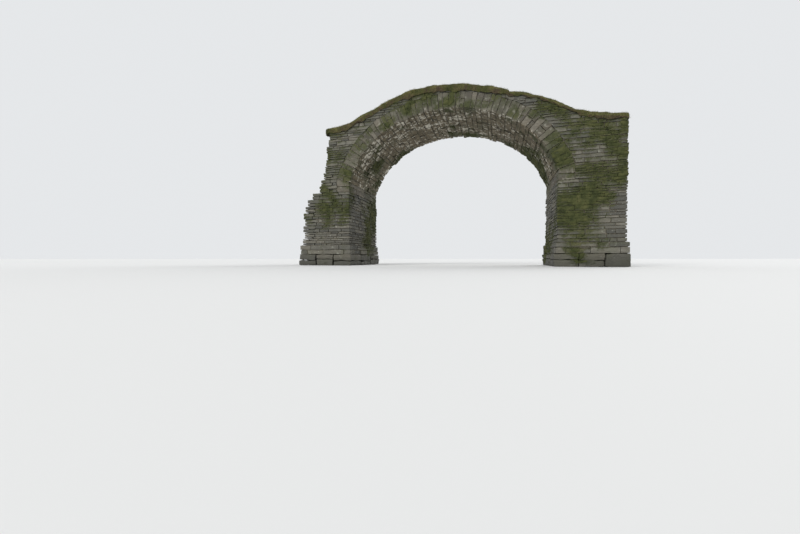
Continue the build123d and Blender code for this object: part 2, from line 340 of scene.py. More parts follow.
def grow_moss(stones, lean=0.0):
    """Says how mossy every place of some stones is, and raises mats where it grows thickest."""
    growth = stones.verts.layers.float.new("growth")
    for vert in stones.verts:
        lush = sum(weight * noise.noise(vert.co * scale) for scale, weight in MAT_NOISE)
        vert[growth] = lush + lean + MAT_ON_TOP * vert.normal.z - (vert.co.z < WATERLINE)
    mats = stones.copy()
    growth = mats.verts.layers.float.get("growth")
    bare = [face for face in mats.faces if max(vert[growth] for vert in face.verts) < MAT_FROM]
    bmesh.ops.delete(mats, geom=bare, context="FACES")
    bmesh.ops.subdivide_edges(mats, edges=mats.edges[:], cuts=1, use_grid_fill=True)
    bmesh.ops.triangulate(mats, faces=mats.faces[:])
    for vert in mats.verts:
        vert[growth] += MAT_FRAY * noise.noise(vert.co * 24)
    bare = [
        face for face in mats.faces if sum(vert[growth] for vert in face.verts) < 3 * MAT_FROM
    ]
    bmesh.ops.delete(mats, geom=bare, context="FACES")
    part_at_corners(mats)
    rim = mats.verts.layers.float.new("rim")
    outwards = mats.verts.layers.float_vector.new("outwards")
    growth = mats.verts.layers.float.get("growth")
    edging = [vert for vert in mats.verts if vert.is_boundary]
    bmesh.ops.smooth_vert(mats, verts=edging, factor=0.5, **ALL_AXES)
    for vert in edging:
        vert[rim] = 1
    mats.normal_update()
    for vert in mats.verts:
        vert[outwards] = vert.normal
    made = bmesh.ops.extrude_face_region(mats, geom=mats.faces[:])
    grown = {part for part in made["geom"] if isinstance(part, bmesh.types.BMVert)}
    for vert in mats.verts:
        if vert in grown:
            thick = MAT_THIN + MAT_RISE * (vert[growth] - MAT_FROM)
            thick += MAT_UNEVEN * noise.noise(vert.co * 33)
            thick = min(max(thick, MAT_LEAST), MAT_MOST)
            vert.co += vert[outwards] * (MAT_RIM if vert[rim] else thick)
        else:
            vert.co -= vert[outwards] * MAT_ROOT
    bmesh.ops.recalc_face_normals(mats, faces=mats.faces)
    mats = thin_out(mats, MAT_DETAIL)
    for face in mats.faces:
        face.smooth = True
    return mats


def keep_inside(shape, margin):
    """Holds a shape on the ground and a margin inside the sides of the CAD model's box."""
    for vert in shape.verts:
        vert.co.x = min(max(vert.co.x, cad_low.x + margin), cad_high.x - margin)
        vert.co.y = min(max(vert.co.y, cad_low.y + margin), cad_high.y - margin)
        vert.co.z = max(vert.co.z, 0.0)


def set_down(shape, name, finish, slot, *nodes):
    """Makes a shape a piece of the bridge, in the place of its CAD nodes if it names any."""
    mesh = bpy.data.meshes.new(name)
    shape.to_mesh(mesh)
    shape.free()
    mesh.materials.append(finish)
    piece = bpy.data.objects.new(name, mesh)
    bpy.context.scene.collection.objects.link(piece)
    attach(piece, "root")
    if nodes:
        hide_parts(*nodes)
    return piece


def solids_of(*names):
    """A copy of CAD nodes with whole flat faces, merged from their loose triangles."""
    copy = bmesh.new()
    for name in names:
        copy.from_mesh(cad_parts[name].data)
    bmesh.ops.remove_doubles(copy, verts=copy.verts, dist=WELD)
    bmesh.ops.dissolve_limit(copy, angle_limit=FLAT_BEND, verts=copy.verts, edges=copy.edges)
    return copy


def stones_in(shape):
    """The separate closed stones of a shape, each as a list of its faces."""
    left, found = set(shape.faces), []
    while left:
        stone, reach = [], [left.pop()]
        while reach:
            face = reach.pop()
            stone.append(face)
            near = {other for edge in face.edges for other in edge.link_faces} & left
            left -= near
            reach += near
        found.append(sorted(stone, key=lambda face: face.index))
    return sorted(found, key=lambda stone: stone[0].index)


def everything_of(faces):
    """Faces with their edges and corners, in the same order in every run, for the cutting."""
    edges = dict.fromkeys(edge for face in faces for edge in face.edges)
    corners = dict.fromkeys(vert for face in faces for vert in face.verts)
    return [*faces, *edges, *corners]
def cut(shape, geometry, place, outwards, **cleared):
    """Cuts part of a shape by a plane, and gives that part with its new edges and corners."""
    made = bmesh.ops.bisect_plane(
        shape, geom=geometry, dist=CUT_REACH, plane_co=place, plane_no=outwards, **cleared
    )
    return made["geom"]
def add_shape(stones, sheet):
    """Adds a finished shape to the stones of a piece."""
    part = bpy.data.meshes.new("part")
    sheet.to_mesh(part)
    sheet.free()
    stones.from_mesh(part)
    bpy.data.meshes.remove(part)


def begin_stones():
    """A mesh for the stones of a piece, in which every stone has its own tone."""
    stones = bmesh.new()
    stones.faces.layers.float.new("tint")
    return stones


def layered_blocks(name, split_share, slip):
    """The blocks of a CAD node as rough stones, some of them split along their bedding."""
    blocks = begin_stones()
    whole = solids_of(name)
    whole.faces.index_update()
    for block in stones_in(whole):
        kept = {face.index for face in block}
        heights = [vert.co.z for face in block for vert in face.verts]
        bounds = [min(heights), max(heights)]
        if chance.random() < split_share:
            share = chance.uniform(*BLOCK_SPLIT_AT)
            bounds.insert(1, bounds[0] + share * (bounds[1] - bounds[0]))
        for low, high in zip(bounds, bounds[1:]):
            layer = whole.copy()
            others = [face for face in layer.faces if face.index not in kept]
            bmesh.ops.delete(layer, geom=others, context="FACES")
            for level, up in ((low, -1), (high, 1)):
                place = (0, 0, level - up * BED_GAP)
                cut(layer, everything_of(layer.faces[:]), place, (0, 0, up), clear_outer=True)
                bmesh.ops.holes_fill(layer, edges=layer.edges[:])
            tint = layer.faces.layers.float.new("tint")
            shade = chance.random()
            for face in layer.faces:
                face[tint] = shade
            middle = sum((vert.co for vert in layer.verts), Vector()) / len(layer.verts)
            for vert in layer.verts:
                vert.co += (middle - vert.co) * BLOCK_SHRINK
                vert.co += Vector([chance.uniform(-slip, slip) for _ in range(3)])
            add_shape(blocks, layer)
    whole.free()
    return blocks


DARK_TONES = [
    (0.05, (0.06, 0.057, 0.047)),
    (0.35, (0.102, 0.096, 0.079)),
    (0.62, (0.148, 0.132, 0.104)),
    (0.9, (0.182, 0.174, 0.147)),
]
footing_stone = stone_finish("river_worn_stone", DARK_TONES, moss=0.0, lichen=0.25, damp=0.75)
cushion_moss = moss_finish()
for side in ("left", "right"):
    low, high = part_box(side + "_footing")
    blocks = layered_blocks(side + "_footing", BLOCK_SPLITS, BLOCK_SLIP)
    weather(blocks, BLOCK_GRAIN, BLOCK_WEAR, BLOCK_RELIEF)
    for vert in blocks.verts:
        vert.co.x += BLOCK_SETBACK * ((low + high).x / 2 - vert.co.x)
        vert.co.y += BLOCK_SETBACK * ((low + high).y / 2 - vert.co.y)
    keep_inside(blocks, 0.004)
    moss = grow_moss(blocks)
    keep_inside(moss, 0.0)
    set_down(blocks, side + "_footing_blocks", footing_stone, "footing_stone", side + "_footing")
    set_down(moss, side + "_footing_moss", cushion_moss, "turf")


# Facing stones: the plinths, piers and end wall are faced with thin slabs laid in rough courses.
# The slabs are bedded in earth and lime, which shows in the joints as the CAD walls themselves.
WALL_WEATHER = {"grain": 0.055, "wear": 0.3, "relief": 0.009}
JOINT = 0.014
SLAB_LENGTHS = (0.15, 0.46)
COURSE_SPLITS = [(0.45,), (0.56,), (0.62,), (0.32, 0.66), (0.5,), (0.38,), (0.3, 0.7), (0.4, 0.7)]
FIRST_LENGTH = (0.5, 1.0)
BOND = 0.045
BOND_SHIFT = 0.06
JOINT_LEAN = 0.14
THINNEST = 0.024
RAGGED = 0.006
TALL = 0.105
SNECKED = 0.45
SNECK_AT = (0.38, 0.64)
SNECK_LEAN = 0.05
STONE_DEPTH = 0.04
DEPTH_SPREAD = (0.8, 1.2)
SQUARE_ON = 0.99
LONG_QUOINS = (0.32, 0.48)
SHORT_QUOINS = (0.17, 0.25)
QUOINS_OUT = (-0.4, 1.3)
QUOIN_PROUD = 0.012
QUOIN_SKEW = 0.02


def facing_sheet(names, facing, flush=True):
    """The flat faces of CAD walls that look one way, ready to be cut into stones."""
    sheet = solids_of(*names)
    facing = Vector(facing)
    front = max(vert.co.dot(facing) for vert in sheet.verts)
    hidden = [
        face
        for face in sheet.faces
        if face.normal.dot(facing) < SQUARE_ON
        or (flush and face.calc_center_median().dot(facing) < front - 0.002)
    ]
    bmesh.ops.delete(sheet, geom=hidden, context="FACES")
    bmesh.ops.dissolve_limit(sheet, angle_limit=FLAT_BEND, verts=sheet.verts, edges=sheet.edges)
    return sheet


def course_lines(low, high, module):
    """Bed lines from low to high: modules of the broken courses, each split into thin beds."""
    lines = [low]
    for n in range(round((high - low) / module)):
        foot = low + n * module
        for share in chance.choice(COURSE_SPLITS):
            lines.append(foot + share * module)
        lines.append(foot + module)
    return lines


def cut_courses(sheet, lines, up=(0, 0, 1)):
    """Cuts a sheet along bed lines, drops what lies outside them and parts the courses."""
    up = Vector(up)
    for line in lines:
        cut(sheet, everything_of(sheet.faces[:]), up * line, up)
    outside = [
        face for face in sheet.faces if not lines[0] < face.calc_center_median().dot(up) < lines[-1]
    ]
    bmesh.ops.delete(sheet, geom=outside, context="FACES")
    bmesh.ops.remove_doubles(sheet, verts=sheet.verts, dist=WELD)
    shared = [edge for edge in sheet.edges if len(edge.link_faces) == 2]
    upright = [edge for edge in shared if abs((edge.verts[0].co - edge.verts[1].co).dot(up)) > 0.001]
    bmesh.ops.dissolve_edges(sheet, edges=upright, use_verts=True)
    shared = [edge for edge in sheet.edges if len(edge.link_faces) == 2]
    bmesh.ops.split_edges(sheet, edges=shared)


def cut_joints(sheet, along, lines, lengths, limits=None, up=(0, 0, 1)):
    """Cuts every course across into stones, with its joints off those of the course below."""
    along, up = Vector(along), Vector(up)
    below = []
    for n, (low, high) in enumerate(zip(lines, lines[1:])):
        strip = [face for face in sheet.faces if low < face.calc_center_median().dot(up) < high]
        if not strip:
            continue
        places = [vert.co.dot(along) for face in strip for vert in face.verts]
        start, stop = min(places), max(places)
        geometry = everything_of(strip)
        if limits:
            for limit, end in zip(limits[n], (-1, 1)):
                if limit is None:
                    continue
                left = cut(sheet, geometry, along * limit, along * end, clear_outer=True)
                geometry = [part for part in left if part.is_valid]
                if end < 0:
                    start = limit
                else:
                    stop = limit
        joints = []
        place = start + chance.uniform(*FIRST_LENGTH) * lengths[1]
        while place < stop - 0.8 * lengths[0]:
            if any(abs(place - other) < BOND for other in below):
                place += BOND_SHIFT
            joints.append(place)
            place += chance.uniform(*lengths)
        for place in joints:
            lean = chance.uniform(-JOINT_LEAN, JOINT_LEAN)
            middle = along * place + up * (low + high) / 2
            geometry = cut(sheet, geometry, middle, along + up * lean)
        below = joints


def raise_stones(sheet, facing, proud, askew, depth, deep=None):
    """Parts the cut faces by their joints and makes each of them a closed stone of its own."""
    facing = Vector(facing)
    bmesh.ops.split_edges(sheet, edges=sheet.edges[:])
    for face in sheet.faces[:]:
        heights = [vert.co.z for vert in face.verts]
        if max(heights) - min(heights) > TALL and chance.random() < SNECKED:
            share = chance.uniform(*SNECK_AT)
            level = min(heights) + share * (max(heights) - min(heights))
            bed = (chance.uniform(-SNECK_LEAN, SNECK_LEAN), 0, 1)
            cut(sheet, everything_of([face]), (0, 0, level), bed)
    bmesh.ops.split_edges(sheet, edges=sheet.edges[:])
    chips = [face for face in sheet.faces if 2 * face.calc_area() < THINNEST * face.calc_perimeter()]
    bmesh.ops.delete(sheet, geom=chips, context="FACES")
    rims = bmesh.ops.inset_individual(
        sheet, faces=sheet.faces[:], thickness=JOINT / 2, use_even_offset=True
    )
    bmesh.ops.delete(sheet, geom=rims["faces"], context="FACES")
    tint = sheet.faces.layers.float.new("tint")
    for face in sheet.faces[:]:
        face[tint] = chance.random()
        for vert in face.verts:
            slip = Vector([chance.uniform(-RAGGED, RAGGED) for _ in range(3)])
            vert.co += slip - facing * slip.dot(facing)
        middle = face.calc_center_median()
        back = depth * chance.uniform(*DEPTH_SPREAD)
        if deep:
            back = deep(face) or back
        made = bmesh.ops.extrude_face_region(sheet, geom=[face])
        front = [part for part in made["geom"] if isinstance(part, bmesh.types.BMVert)]
        turn = Vector([chance.uniform(-askew, askew) for _ in range(3)])
        out = chance.uniform(*proud)
        for vert in face.verts:
            vert.co -= facing * back
        for vert in front:
            vert.co += facing * (out + turn.dot(vert.co - middle))
    return sheet


def lay_quoins(stones, corner, inwards, lines):
    """Long and short corner blocks by turns, and how far each reaches along X and along Y."""
    tint = stones.faces.layers.float.get("tint")
    reaches = []
    for n, (low, high) in enumerate(zip(lines, lines[1:])):
        long, short = chance.uniform(*LONG_QUOINS), chance.uniform(*SHORT_QUOINS)
        reach = (long, short) if n % 2 else (short, long)
        out = chance.uniform(*QUOINS_OUT) * QUOIN_PROUD
        lows = [corner[0] - inwards[0] * out, corner[1] - inwards[1] * out, low + JOINT / 2]
        highs = [
            corner[0] + inwards[0] * (reach[0] - JOINT / 2),
            corner[1] + inwards[1] * (reach[1] - JOINT / 2),
            high - JOINT / 2,
        ]
        size = [abs(b - a) for a, b in zip(lows, highs)]
        middle = [(a + b) / 2 for a, b in zip(lows, highs)]
        skew = Matrix.Rotation(chance.uniform(-QUOIN_SKEW, QUOIN_SKEW), 4, "Z")
        block = bmesh.ops.create_cube(
            stones, matrix=Matrix.Translation(middle) @ skew @ Matrix.Diagonal((*size, 1))
        )
        shade = chance.random()
        for face in {face for vert in block["verts"] for face in vert.link_faces}:
            face[tint] = shade
        reaches.append((corner[0] + inwards[0] * reach[0], corner[1] + inwards[1] * reach[1]))
    return reaches


WALL_TONES = [
    (0.05, (0.043, 0.043, 0.037)),
    (0.3, (0.074, 0.073, 0.062)),
    (0.55, (0.107, 0.103, 0.085)),
    (0.8, (0.148, 0.137, 0.109)),
    (0.98, (0.172, 0.167, 0.143)),
]
wall_stone = stone_finish("mossy_slabstone", WALL_TONES, moss=0.14, lichen=0.35, damp=0.5)


def packing_finish(name, pale, dark, moss):
    """Earth and weathered lime between the stones, crumbly and partly washed out."""
    material, surface, place = begin_finish(name)
    crumbs = speckle(place, 38, 6, 0.75)
    patches = speckle(place, 2.1, 5, 0.6)
    colour = tinted(between(crumbs + patches * 0.5, 0.6, 0.95), dark, pale)
    film = between(patches + crumbs * 0.3 + moss, 0.72, 0.9) * 0.8
    colour = tinted(film, colour, (0.05, 0.062, 0.018))
    fit_surface(surface, colour, 0.95, 0.2, crumbs + patches)
    return material


bedding = packing_finish("earth_and_lime_bedding", (0.2, 0.18, 0.14), (0.075, 0.065, 0.048), 0.06)
PIER_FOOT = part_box("left_jamb_wall")[0].z
PIER_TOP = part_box("left_jamb_wall")[1].z
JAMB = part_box("right_jamb_wall")[0].x
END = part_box("right_front_pier_wall")[1].x
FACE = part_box("right_front_pier_wall")[0].y
PIER_COURSES = 8
MODULE = (PIER_TOP - PIER_FOOT) / PIER_COURSES
PROUD = (-0.009, 0.016)
ASKEW = 0.03
JOINT_DEPTH = 0.024
PACKING_INSET = 0.0005


def lay_mossy(group, kind, stones, weathering, lean, finish, slot, *nodes):
    """Weathers stones, grows moss on them, and sets down the stones and their mats."""
    weather(stones, **weathering)
    mats = grow_moss(stones, lean)
    set_down(stones, group + kind, finish, slot, *nodes)
    set_down(mats, group + "_moss", cushion_moss, "turf")


def face_block(names, lines, sides, corners, lengths=SLAB_LENGTHS, deep=None):
    """Faces a block of masonry: quoins at its corners, and coursed slabs on its sides."""
    stones = begin_stones()
    reach = {corner: lay_quoins(stones, corner, inwards, lines) for corner, inwards in corners}
    for facing, along in sides:
        sheet = facing_sheet(names, facing)
        level = next(iter(sheet.faces)).calc_center_median()
        cut_courses(sheet, lines)
        axis = 0 if along == (1, 0, 0) else 1
        limits = []
        for n in range(len(lines) - 1):
            pair = []
            for end in (-1, 1):
                found = [
                    reach[corner][n][axis]
                    for corner, inwards in corners
                    if inwards[axis] == -end and abs(corner[1 - axis] - level[1 - axis]) < 0.02
                ]
                pair.append(found[0] if found else None)
            limits.append(pair)
        cut_joints(sheet, along, lines, lengths, limits)
        raise_stones(sheet, facing, PROUD, ASKEW, STONE_DEPTH, deep)
        add_shape(stones, sheet)
    return stones


def cut_back(names, cuts):
    """Copies of CAD walls, each cut off at some planes and closed again, to stand behind stones."""
    packing = bmesh.new()
    for name in names:
        wall = solids_of(name)
        for place, outwards in cuts:
            cut(wall, everything_of(wall.faces[:]), place, outwards, clear_outer=True)
            bmesh.ops.holes_fill(wall, edges=wall.edges[:])
        wall.normal_update()
        for vert in wall.verts:
            vert.co -= vert.normal * PACKING_INSET
        add_shape(packing, wall)
    return packing


FRONT = ((0, -1, 0), (1, 0, 0))
BACK = ((0, 1, 0), (1, 0, 0))
LEFTWARDS = ((-1, 0, 0), (0, 1, 0))
RIGHTWARDS = ((1, 0, 0), (0, 1, 0))
BROKEN_PIER = -3.88
BROKEN_TOP = PIER_TOP - 0.11
BROKEN_REACH = 0.05
WHOLE_DEPTH = (0.72, 1.1)
THICK = 0.45
PLINTH_BEDS = {"left": 0.13, "right": 0.15}
PLINTH_LENGTHS = (0.3, 0.7)
WALL_MOSS = 0.05
pier_lines = {side: course_lines(PIER_FOOT, PIER_TOP, MODULE) for side in ("left", "right")}


def broken_pier_stone(face):
    """The walls' full thickness for stones that the break or the ledge lays open."""
    open_end = min(vert.co.x for vert in face.verts) < BROKEN_PIER + BROKEN_REACH
    open_top = max(vert.co.z for vert in face.verts) > BROKEN_TOP and face.normal.x == 0
    if abs(face.normal.y) > 0.9 and (open_end or open_top):
        return THICK * chance.uniform(*WHOLE_DEPTH)
    return None


def set_back(low, high, sides):
    """Planes a joint's depth inside a block of masonry, behind the stones on its sides."""
    planes = []
    for outwards, _ in sides:
        outwards = Vector(outwards)
        face = high if sum(outwards) > 0 else low
        planes.append((outwards * (face.dot(outwards) - JOINT_DEPTH), outwards))
    return planes


for side, end in (("left", -1), ("right", 1)):
    walls = [side + name for name in ("_jamb_wall", "_front_pier_wall", "_back_pier_wall")]
    corners = [((end * JAMB, y), (end, 1 if y < 0 else -1)) for y in (FACE, -FACE)]
    low, high = Vector((JAMB, FACE, 0)), Vector((END, -FACE, 0))
    if side == "right":
        walls.append("right_end_wall")
        corners += [((END, y), (-1, 1 if y < 0 else -1)) for y in (FACE, -FACE)]
        sides = [FRONT, BACK, LEFTWARDS, RIGHTWARDS]
        slabs = face_block(walls, pier_lines[side], sides, corners)
    else:
        low.x, high.x = -END, -JAMB
        sides = [FRONT, BACK, RIGHTWARDS]
        slabs = face_block(walls, pier_lines[side], sides, corners, deep=broken_pier_stone)
    pier = side + "_pier"
    lay_mossy(pier, "_slabs", slabs, WALL_WEATHER, WALL_MOSS, wall_stone, "wall_stone", *walls)
    cuts = set_back(low, high, sides)
    if side == "left":
        cuts += [((BROKEN_PIER, 0, 0), (-1, 0, 0)), ((0, 0, BROKEN_TOP), (0, 0, 1))]
    behind = cut_back(walls, cuts)
    set_down(behind, pier + "_packing", bedding, "hearting", *walls)

    plinth = side + "_plinth"
    low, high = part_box(plinth)
    corners = [
        ((x, y), (1 if x == low.x else -1, 1 if y == low.y else -1))
        for x in (low.x, high.x)
        for y in (low.y, high.y)
    ]
    sides = [FRONT, BACK, LEFTWARDS, RIGHTWARDS]
    lines = [low.z, low.z + PLINTH_BEDS[side], high.z]
    slabs = face_block([plinth], lines, sides, corners, PLINTH_LENGTHS)
    finish = (wall_stone, "footing_stone", plinth)
    lay_mossy(plinth, "_blocks", slabs, WALL_WEATHER, WALL_MOSS, *finish)
    behind = cut_back([plinth], set_back(low, high, sides))
    set_down(behind, plinth + "_packing", bedding, "hearting", plinth)
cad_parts["right_pier_hearting"].material_slots[0].material = bedding


# Hearting: the inside of the piers and haunches, random rubble tipped into earth and lime.
# The break on the left lays it open in ragged courses, with loose stones on every step.
RUBBLE_WEATHER = {"grain": 0.05, "wear": 0.35, "relief": 0.014}
RUBBLE_LENGTHS = (0.09, 0.27)
RUBBLE_PROUD = (-0.015, 0.055)
RUBBLE_DEPTH = 0.09
RUBBLE_ASKEW = 0.16
STEP_PROUD = (0.0, 0.04)
STEP_DEPTH = 0.06
STEP_ROWS = 9
OPEN_TO = -3.25
LEFT_BED = 3.86
LEFT_COURSES = 9
RUBBLE_TONES = [
    (0.05, (0.075, 0.067, 0.05)),
    (0.4, (0.128, 0.115, 0.09)),
    (0.7, (0.185, 0.16, 0.122)),
    (0.95, (0.235, 0.215, 0.175)),
]
rubble_stone = stone_finish("loose_rubble", RUBBLE_TONES, moss=0.0, lichen=0.2)
loose_earth = packing_finish("hearting_earth", (0.17, 0.14, 0.1), (0.06, 0.048, 0.034), 0.1)
for name, top, courses in (
    ("left_pier_hearting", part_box("left_pier_hearting")[1].z, PIER_COURSES),
    ("left_haunch_fill", LEFT_BED, LEFT_COURSES),
):
    stones = begin_stones()
    low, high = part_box(name)
    ends = facing_sheet([name], (-1, 0, 0), flush=False)
    lines = course_lines(low.z, top, (top - low.z) / courses)
    cut_courses(ends, lines)
    cut_joints(ends, (0, 1, 0), lines, RUBBLE_LENGTHS)
    raise_stones(ends, (-1, 0, 0), RUBBLE_PROUD, RUBBLE_ASKEW, RUBBLE_DEPTH)
    add_shape(stones, ends)
    steps = facing_sheet([name], (0, 0, 1), flush=False)
    lines = [low.y + n * (high.y - low.y) / STEP_ROWS for n in range(STEP_ROWS + 1)]
    cut_courses(steps, lines, (0, 1, 0))
    cut_joints(steps, (1, 0, 0), lines, RUBBLE_LENGTHS, up=(0, 1, 0))
    raise_stones(steps, (0, 0, 1), STEP_PROUD, RUBBLE_ASKEW, STEP_DEPTH)
    add_shape(stones, steps)
    stones.faces.index_update()
    for stone in stones_in(stones):
        if min(vert.co.x for face in stone for vert in face.verts) > OPEN_TO:
            bmesh.ops.delete(stones, geom=stone, context="FACES")
    lay_mossy(name, "_rubble", stones, RUBBLE_WEATHER, 0.0, rubble_stone, "hearting")
    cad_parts[name].material_slots[0].material = loose_earth
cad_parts["right_haunch_fill"].material_slots[0].material = loose_earth


# Arch: rings of thin slabs on both faces and a barrel of slabs between them, each set on edge
# against a radial joint. The slabs were split by hand, so they hang unevenly under the arch.
ARCH_TONES = [
    (0.05, (0.046, 0.042, 0.034)),
    (0.35, (0.083, 0.076, 0.061)),
    (0.65, (0.12, 0.107, 0.084)),
    (0.95, (0.163, 0.149, 0.121)),
]
arch_stone = stone_finish(
    "limed_slabstone", ARCH_TONES, moss=0.16, lichen=0.3, lime=0.9, film_share=0.65
)
lime = packing_finish("weathered_lime", (0.4, 0.37, 0.3), (0.13, 0.115, 0.09), 0.0)
ARCH_WEATHER = {"grain": 0.06, "wear": 0.3, "relief": 0.01}
SPRINGER_WEATHER = {"grain": 0.06, "wear": 0.3, "relief": 0.014}
SPRINGER_SLIP = 0.006
BARREL_LENGTHS = (0.2, 0.5)
RING_LENGTHS = (1.0, 1.0)
RING_SPLITS = 0.3
SLAB_SPLIT_AT = (0.42, 0.62)
SLAB_SHRINK = 0.02
SLAB_TURN = 0.02
SLAB_TILT = 0.025
# How far slabs hang or stand back, and how deep their tails go into the bed behind.
HANG = 0.03
TAILED_IN = 0.018
HUB_HEIGHT = 1.2
BARREL_MOSS = -0.06
RING_MOSS = 0.18


def lay_slabs(slabs, name, lengths, split_share):
    """Cuts each wedge course of a CAD node across the bridge into slabs, laid a little askew."""
    tint = slabs.faces.layers.float.get("tint")
    wedges = solids_of(name)
    fronts = sorted(
        (face for face in wedges.faces if face.normal.y < -SQUARE_ON),
        key=lambda face: face.calc_center_median().x,
    )
    backs = [face.calc_center_median() for face in wedges.faces if face.normal.y > SQUARE_ON]
    for front in fronts:
        middle = front.calc_center_median()
        end = min(backs, key=lambda back: (back.x - middle.x) ** 2 + (back.z - middle.z) ** 2).y
        hub = Vector((0, middle.y, HUB_HEIGHT))
        corners = [vert.co.copy() for vert in front.verts]
        first = min(range(4), key=lambda n: ((corners[n] + corners[(n + 1) % 4]) / 2 - hub).length)
        inner = corners[first], corners[(first + 1) % 4]
        outer = corners[(first + 3) % 4], corners[(first + 2) % 4]
        outward = (outer[0] + outer[1] - inner[0] - inner[1]).normalized()
        outer = [corner + outward * TAILED_IN for corner in outer]
        bounds = [middle.y]
        while end - bounds[-1] > 1.5 * lengths[1]:
            bounds.append(bounds[-1] + chance.uniform(*lengths))
        bounds.append(end)
        for start, stop in zip(bounds, bounds[1:]):
            shares = [0.0, 1.0]
            if chance.random() < split_share:
                shares = [0.0, chance.uniform(*SLAB_SPLIT_AT), 1.0]
            for low, high in zip(shares, shares[1:]):
                outline = [inner[0].lerp(outer[0], low), inner[1].lerp(outer[1], low)]
                outline += [inner[1].lerp(outer[1], high), inner[0].lerp(outer[0], high)]
                centre = sum(outline, Vector()) / 4
                outline = [co + (centre - co) * SLAB_SHRINK for co in outline]
                verts = [slabs.verts.new((*co,)) for co in outline]
                for vert in verts:
                    vert.co.y = start + JOINT / 3
                face = slabs.faces.new(verts)
                face[tint] = chance.random()
                made = bmesh.ops.extrude_face_region(slabs, geom=[face])
                far = [part for part in made["geom"] if isinstance(part, bmesh.types.BMVert)]
                for vert in far:
                    vert.co.y = stop - JOINT / 3
                centre.y = (start + stop) / 2
                drop = outward * chance.uniform(-HANG, HANG * 0.5) / len(shares[1:]) ** 2
                skew = Matrix.Rotation(chance.uniform(-SLAB_TURN, SLAB_TURN), 3, outward)
                skew = skew @ Matrix.Rotation(chance.uniform(-SLAB_TILT, SLAB_TILT), 3, "Y")
                for vert in verts + far:
                    vert.co = centre + drop + skew @ (vert.co - centre)
    wedges.free()


sides_of_arch = ("front_ring_left", "front_ring_right", "back_ring_left", "back_ring_right")
arch_courses = {name: [name] for name in (*sides_of_arch, "barrel_left", "barrel_right")}
arch_courses["key_course"] = ["front_keystone", "back_keystone", "barrel_key_course"]
for piece, names in arch_courses.items():
    slabs = begin_stones()
    for name in names:
        if "barrel" in name:
            lay_slabs(slabs, name, BARREL_LENGTHS, 0.0)
        else:
            lay_slabs(slabs, name, RING_LENGTHS, RING_SPLITS)
    lean = BARREL_MOSS if "barrel" in piece else RING_MOSS
    lay_mossy(piece, "_slabs", slabs, ARCH_WEATHER, lean, arch_stone, "arch_stone", *names)

for side in ("left", "right"):
    for name in ("_arch_mortar", "_springer_mortar"):
        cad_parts[side + name].material_slots[0].material = lime
    blocks = layered_blocks(side + "_springers", 1.0, SPRINGER_SLIP)
    finish = (arch_stone, "arch_stone", side + "_springers")
    lay_mossy(side + "_springer", "_blocks", blocks, SPRINGER_WEATHER, 0.0, *finish)


# Spandrels: the walls over the arch, in the same thin slabs, fitted down to the back of the
# ring. On the left they end in the ragged courses that the fallen approach has left.
CROWN_ZONE = 1.2
CROWN_TOP = 4.7
CROWN_BAND = [4.0, 5.0]
BROKEN_SPANDREL = -3.3
LEFT_TOP_COURSE = 0.21
RIGHT_BED = 3.515
RIGHT_COURSES = 7
RIGHT_TOP_COURSES = 6
SPANDREL_MOSS = 0.08
left_module = (LEFT_BED - PIER_TOP) / LEFT_COURSES
right_module = (RIGHT_BED - PIER_TOP) / RIGHT_COURSES
spandrel_lines = {
    "left": course_lines(PIER_TOP, LEFT_BED, left_module)
    + course_lines(LEFT_BED, CROWN_TOP, LEFT_TOP_COURSE)[1:],
    "right": course_lines(PIER_TOP, RIGHT_BED, right_module)
    + course_lines(RIGHT_BED, CROWN_TOP, 1.185 / RIGHT_TOP_COURSES)[1:],
}


def broken_spandrel_stone(face):
    """The wall's full thickness for stones that the break lays open."""
    open_end = min(vert.co.x for vert in face.verts) < BROKEN_SPANDREL + BROKEN_REACH
    if abs(face.normal.y) > 0.9 and open_end:
        return THICK * chance.uniform(*WHOLE_DEPTH)
    return None


